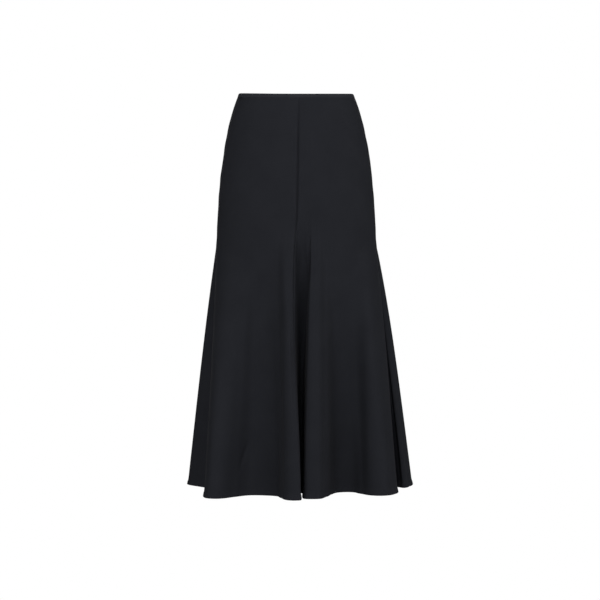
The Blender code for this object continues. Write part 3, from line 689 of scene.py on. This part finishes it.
def makeEdging():
    # the narrow strip that rolls over the waist edge, once round from the back seam
    section = readTable(edgingColumns, edgingRows)
    back = seamAt(zipper["seam"])
    s = np.linspace(back, back + ringLength, edging["samples"])
    top = place(s % ringLength, 0.0)
    walked = np.concatenate([[0.0], np.cumsum(np.linalg.norm(np.diff(top, axis=0), axis=1))])
    stops = np.linspace(edging["endGap"], walked[-1] - edging["endGap"], int(walked[-1] / edging["step"]))
    around = (np.interp(stops, walked, s) % ringLength)[:, None]
    wave = ripple(stops, edging["puckerWaves"])[:, None]
    bulge = np.clip(section["out"] / edging["fullOut"], 0.0, 1.0)
    out = section["out"] + edging["pucker"] * wave * bulge
    down = section["down"] + 0 * around
    rings = place(around, down) + outward(around, down) * out[..., None]
    steps = np.hypot(np.diff(section["out"]), np.diff(section["down"]))
    alongSection = np.concatenate([[0.0], np.cumsum(steps)])
    uv = np.stack([stops[:, None] + 0 * down, alongSection + 0 * down], axis=-1)
    mesh = tubeMesh("waist_edging_roll", rings, uv)
    # the edging gets the lighter crepe, whose colour is a painted highlight on its rolled top
    piece = addPiece("waist_edging_roll", mesh, paintedHighlightCrepe, "waist_edging")


makeEdging()
print("waist edging made")

# Strips inside: the zip tapes, and the seam allowances pressed open.
strips = {
    "columns": 9,
    "reach": 0.060,           # in s, enough for a strip's width everywhere
    "reachSteps": 90,
    "allowanceWidth": 0.0100,
    "allowanceWall": 0.0008,
    "allowanceBehind": 0.0017,
    "allowanceTop": 0.0096,
    "allowanceEnd": 0.820,
    "zipEnd": 0.200,          # the back seam's allowances start below the zip
    "rowsAMetre": 170,
    "lift": 0.0006,           # how far an allowance's free edge stands off the cloth here and there
    "liftWaves": ((0.021, 0.5, 0.0), (0.034, 0.5, 0.0)),   # step, share and phase of each
}


def reachAlong(start, side, down, distances):
    # how far in s the cloth's real distances from a seam lie, row by row
    tried = np.linspace(0.0, strips["reach"], strips["reachSteps"])
    walked = alongRows(place((start + side * tried) % ringLength, down))
    return np.array([np.interp(distances, row, tried) for row in walked])


def makeStrip(name, seam, side, top, end, behind, wall, width, finish, replaced=None, lift=0.0):
    # a strip along a seam, behind the cloth; side is 1 for the gore that follows the seam
    start = seamAt(seam)
    down = np.linspace(top, end, int((end - top) * strips["rowsAMetre"]))[:, None]
    across = np.linspace(0.0, width, strips["columns"])
    s = start + side * reachAlong(start, side, down, across)
    across, s = across[::side], s[:, ::side]
    s = s % ringLength
    relief = creaseRelief(s, down, stretch(s, down))
    free = (across / width) ** 2
    wave = ripple(down, strips["liftWaves"], seam)
    rolled = 0.0 if replaced else gores["innerRoll"] * seamRelief(seam, across, down)
    off = behind - relief - rolled + lift * free * (1.0 + wave)
    face, normal = place(s, down), outward(s, down)
    uv = np.stack([across + 0 * s, -down + 0 * s], axis=-1)
    mesh = gridMesh(name, face - normal * off[..., None], face - normal * (off + wall)[..., None], uv)
    piece = addPiece(name, mesh, finish, replaced)


zipTape = tapeMaterial()
tapeEnd = zipper["tapeTop"] + zipper["tapeLength"]
for tapeName, tapeSide in (("zip_tape_left", -1), ("zip_tape_right", 1)):
    makeStrip(tapeName + "_woven", zipper["seam"], tapeSide, zipper["tapeTop"], tapeEnd,
              zipper["tapeBehind"], zipper["tapeWall"], zipper["tapeWidth"], zipTape, tapeName)
for seamNumber in range(skirt["seamsRound"]):
    for seamSide in (-1, 1):
        stripTop = strips["zipEnd"] if seamNumber == zipper["seam"] else strips["allowanceTop"]
        stripName = f"seam_allowance_{seamNumber}_{'after' if seamSide > 0 else 'before'}"
        makeStrip(stripName, seamNumber, seamSide, stripTop, strips["allowanceEnd"],
                  strips["allowanceBehind"], strips["allowanceWall"], strips["allowanceWidth"],
                  crepeCloth, lift=strips["lift"])
print("zip tapes and seam allowances made")


def makeCoil():
    # the closed zip's row of nylon loops, wound about the back seam behind the tapes
    back = seamAt(zipper["seam"])
    turns = (zipper["coilEnd"] - zipper["coilTop"]) / zipper["coilPitch"]
    angle = np.linspace(0.0, 2 * math.pi * turns, int(turns * zipper["pointsATurn"]))
    down = np.linspace(zipper["coilTop"], zipper["coilEnd"], len(angle))
    normal = outward(back, down)
    sideways = slopeAcross(back, down)
    sideways /= np.linalg.norm(sideways, axis=-1, keepdims=True)
    below = np.cross(sideways, normal)
    breadth, depth = zipper["coilHalf"]
    spoke = sideways * np.cos(angle)[:, None] + normal * np.sin(angle)[:, None]
    wire = sideways * (breadth * np.cos(angle))[:, None] + normal * (depth * np.sin(angle))[:, None]
    middle = place(back, down) - normal * zipper["coilBehind"] + wire
    turn = np.linspace(0.0, 2 * math.pi, zipper["wireSides"], endpoint=False)[None, :, None]
    ring = spoke[:, None] * np.cos(turn) + below[:, None] * np.sin(turn)
    rings = middle[:, None] + zipper["wireRadius"] * ring
    uv = np.stack(np.broadcast_arrays(down[:, None], turn[..., 0]), axis=-1)
    addPiece("zip_coil", tubeMesh("zip_coil", rings, uv), coilMaterial())


makeCoil()
enamel = metalMaterial()
for nodeName in ("zip_slider", "zip_pull"):
    for slotHeld in bpy.data.objects[nodeName].material_slots:
        slotHeld.material = enamel
print("zip made")

studio = {
    "floorLevel": -1.30,
    "floorSize": 24.0,
    "floorPaint": "#8A8A8A",   # what the floor throws back
    "white": "#FFFFFF",        # what the camera sees of floor and room
    "shade": "#D8DCE2",        # what the cloth sees of the room
    "shadeStrength": 0.025,
}

# Softboxes round the skirt. azimuth: 0 in front, 90 at the wearer's left. aim: the height aimed at.
lampColumns = "azimuth elevation distance size power aim"
lampRows = {
    "keyLeft": (-25, 25, 3.6, 1.6, 66.0, -0.42),
    "fillRight": (30, 0, 3.6, 1.6, 13.5, -0.42),
    "highRight": (35, 45, 3.6, 1.6, 52.0, -0.42),
    "frontRight": (25, 25, 3.6, 1.6, 6.0, -0.42),
    "nearFront": (0, 0, 2.0, 0.8, 5.8, -0.25),
    "nearLeft": (-70, 0, 1.6, 0.8, 5.2, -0.25),
    "nearRight": (70, 0, 1.6, 0.8, 4.2, -0.25),
    "sideRight": (90, 0, 3.6, 1.6, 23.0, -0.42),
    "backLeft": (170, 28, 3.6, 1.6, 40.0, -0.42),
    "backRight": (-168, 22, 3.6, 1.6, 36.0, -0.42),
}

camera = {
    "lens": 96.3,
    "sensor": 36.0,
    "at": (0.0085, -3.4, -0.4375),
}


def addLamp(name, azimuth, elevation, distance, size, power, aim):
    data = bpy.data.lights.new(name, "AREA")
    data.shape = "SQUARE"
    data.size = size
    data.energy = power
    lamp = bpy.data.objects.new(name, data)
    bpy.context.scene.collection.objects.link(lamp)
    a, e = math.radians(azimuth), math.radians(elevation)
    towards = Vector((math.sin(a) * math.cos(e), -math.cos(a) * math.cos(e), math.sin(e)))
    lamp.location = Vector((0.0, 0.0, aim)) + towards * distance
    lamp.rotation_euler = towards.to_track_quat("Z", "Y").to_euler()
    lamp.visible_camera = False


def makeFloor():
    # plain white to look at, and throws little light back on the cloth
    bpy.ops.mesh.primitive_plane_add(size=studio["floorSize"], location=(0.0, 0.0, studio["floorLevel"]))
    floor = bpy.context.active_object
    floor.name = "studioFloor"
    finish, tree = newMaterial("mattWhiteFloor")
    seen = addNode(tree, "ShaderNodeLightPath").outputs["Is Camera Ray"]
    glow = addNode(tree, "ShaderNodeEmission", {"Color": studio["white"]})
    paint = addNode(tree, "ShaderNodeBsdfDiffuse", {"Color": studio["floorPaint"]})
    mixed = addNode(tree, "ShaderNodeMixShader", None, {0: seen, 1: paint.outputs[0], 2: glow.outputs[0]})
    addNode(tree, "ShaderNodeOutputMaterial", None, {"Surface": mixed.outputs[0]})
    floor.data.materials.append(finish)


def makeRoom():
    # white behind the skirt, and dim to the cloth
    room = bpy.data.worlds.new("whiteStudio")
    bpy.context.scene.world = room
    room.use_nodes = True
    tree = room.node_tree
    tree.nodes.clear()
    seen = addNode(tree, "ShaderNodeLightPath").outputs["Is Camera Ray"]
    bright = addNode(tree, "ShaderNodeBackground", {"Color": studio["white"]})
    dim = addNode(tree, "ShaderNodeBackground",
                  {"Color": studio["shade"], "Strength": studio["shadeStrength"]})
    mixed = addNode(tree, "ShaderNodeMixShader", None, {0: seen, 1: dim.outputs[0], 2: bright.outputs[0]})
    addNode(tree, "ShaderNodeOutputWorld", None, {"Surface": mixed.outputs[0]})


def makeCamera():
    data = bpy.data.cameras.new("camera")
    data.lens = camera["lens"]
    data.sensor_width = camera["sensor"]
    held = bpy.data.objects.new("camera", data)
    held.location = camera["at"]
    held.rotation_euler = (math.pi / 2, 0.0, 0.0)
    bpy.context.scene.collection.objects.link(held)
    bpy.context.scene.camera = held
    bpy.context.scene.view_settings.view_transform = "Standard"


for lampName, lampRow in lampRows.items():
    addLamp(lampName, **dict(zip(lampColumns.split(), lampRow)))
makeFloor()
makeRoom()
makeCamera()
print("studio and camera set")
